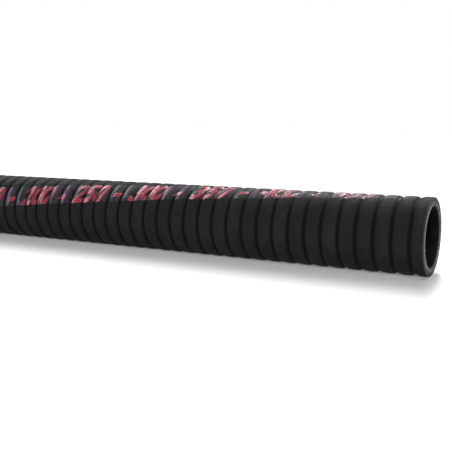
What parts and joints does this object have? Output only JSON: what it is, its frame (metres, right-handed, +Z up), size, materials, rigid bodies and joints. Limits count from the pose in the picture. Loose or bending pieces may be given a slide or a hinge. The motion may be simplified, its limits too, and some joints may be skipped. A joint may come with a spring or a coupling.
{
  "type": "fuel hose",
  "caption": "Straight length of black corrugated rubber fuel hose with a smooth through bore and square cut ends.",
  "frame": {"origin": "middle of the hose's axis", "axes": "+X along the hose towards the cut end that the picture shows, +Z up as the hose lies"},
  "size_m": [0.5, 0.049, 0.049],
  "materials": {
    "rubber_cover": "matte black rubber with a faint wrapped-cloth impression"
  },
  "bodies": {
    "root": {"hose": "rubber_cover"}
  },
  "joints": []
}
